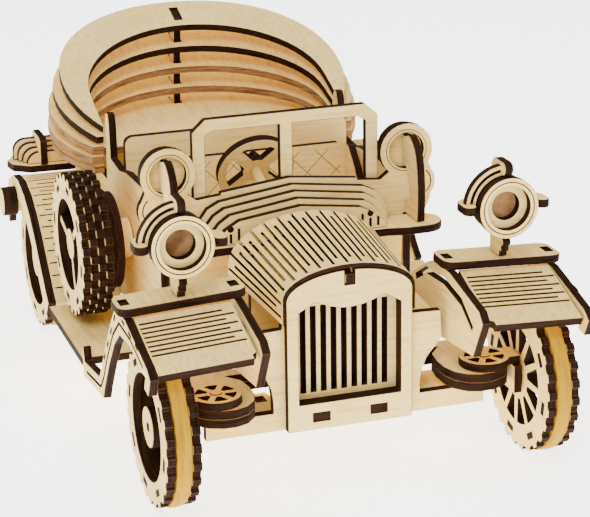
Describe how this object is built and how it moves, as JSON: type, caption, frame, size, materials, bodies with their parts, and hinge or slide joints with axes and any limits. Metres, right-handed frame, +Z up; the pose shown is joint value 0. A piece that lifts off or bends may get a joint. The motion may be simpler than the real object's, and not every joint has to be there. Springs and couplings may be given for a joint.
{
  "type": "wooden 3d jigsaw model car",
  "caption": "Vintage open-top car built from slotted laser-cut plywood plates, with steering front wheels, spinning spoked wheels, lamps, windscreen and a folded top.",
  "frame": {"origin": "bottom centre of the overall box, on the surface the wheels stand on", "axes": "+Z up, -Y towards the car's front, +X towards the car's left-hand side as its driver sits"},
  "size_m": [0.1546, 0.2408, 0.1104],
  "materials": {
    "plywood": "bare pale plywood with scorched laser-cut edges",
    "rubber_band": "mustard rubber, slightly glossy"
  },
  "bodies": {
    "car": {"body_side_left": "plywood", "body_side_right": "plywood", "bonnet_former": "plywood", "bonnet_shell": "plywood", "bonnet_spine": "plywood", "chassis_keel": "plywood", "cowl_lamp_left": "plywood", "cowl_lamp_plate": "plywood", "cowl_lamp_right": "plywood", "cowl_step_stack": "plywood", "cowl_wing_plate": "plywood", "floor_plate": "plywood", "folded_top_1": "plywood", "folded_top_2": "plywood", "folded_top_3": "plywood", "folded_top_4": "plywood", "folded_top_5": "plywood", "folded_top_spine": "plywood", "front_axle_plate": "plywood", "front_cross_plate": "plywood", "front_fender_deck_left": "plywood", "front_fender_deck_right": "plywood", "front_fender_inner_cheek_left": "plywood", "front_fender_inner_cheek_right": "plywood", "front_fender_outer_cheek_left": "plywood", "front_fender_outer_cheek_right": "plywood", "front_seat": "plywood", "headlamp_barrel_left": "plywood", "headlamp_barrel_right": "plywood", "headlamp_clamp_left": "plywood", "headlamp_clamp_right": "plywood", "lamp_shelf_left": "plywood", "lamp_shelf_right": "plywood", "luggage_base": "plywood", "luggage_case": "plywood", "radiator_front_plate": "plywood", "radiator_slat_plate": "plywood", "rear_axle": "plywood", "rear_fender_cheek_left": "plywood", "rear_fender_cheek_right": "plywood", "rear_fender_deck_left": "plywood", "rear_fender_deck_right": "plywood", "rear_panel": "plywood", "running_board_left": "plywood", "running_board_right": "plywood", "seat_divider": "plywood", "spare_wheel": "plywood", "spare_wheel_mount": "plywood", "windscreen_frame": "plywood"},
    "front_left_wheel": {"wheel_front_left": "plywood", "tyre_band_front_left": "rubber_band"},
    "front_right_wheel": {"wheel_front_right": "plywood", "tyre_band_front_right": "rubber_band"},
    "rear_left_wheel": {"wheel_rear_left": "plywood", "tyre_band_rear_left": "rubber_band"},
    "rear_right_wheel": {"wheel_rear_right": "plywood", "tyre_band_rear_right": "rubber_band"},
    "left_knuckle": {"knuckle_left": "plywood"},
    "right_knuckle": {"knuckle_right": "plywood"},
    "steering": {"steering_wheel": "plywood"}
  },
  "joints": [
    {"name": "steer_left", "type": "hinge", "parent": "car", "child": "left_knuckle", "pos_m": [-0.045, -0.09479, 0.0256], "axis": [0, 0, 1], "range_deg": [-20, 20]},
    {"name": "steer_right", "type": "hinge", "parent": "car", "child": "right_knuckle", "pos_m": [0.045, -0.09479, 0.0256], "axis": [0, 0, 1], "range_deg": [-20, 20]},
    {"name": "steering_wheel_turn", "type": "hinge", "parent": "car", "child": "steering", "pos_m": [-0.0041, -0.00789, 0.0774], "axis": [0, 0.9135, 0.4067], "range_deg": [-60, 60]},
    {"name": "spin_front_left", "type": "hinge", "parent": "left_knuckle", "child": "front_left_wheel", "pos_m": [-0.062, -0.09479, 0.0256], "axis": [1, 0, 0], "continuous": true},
    {"name": "spin_rear_left", "type": "hinge", "parent": "car", "child": "rear_left_wheel", "pos_m": [-0.062, 0.07191, 0.0256], "axis": [1, 0, 0], "continuous": true},
    {"name": "spin_front_right", "type": "hinge", "parent": "right_knuckle", "child": "front_right_wheel", "pos_m": [0.062, -0.09479, 0.0256], "axis": [1, 0, 0], "continuous": true},
    {"name": "spin_rear_right", "type": "hinge", "parent": "car", "child": "rear_right_wheel", "pos_m": [0.062, 0.07191, 0.0256], "axis": [1, 0, 0], "continuous": true}
  ],
  "couplings": [
    {"joint": "steer_right", "follows": "steer_left", "ratio": 1},
    {"joint": "steering_wheel_turn", "follows": "steer_left", "ratio": 3}
  ]
}
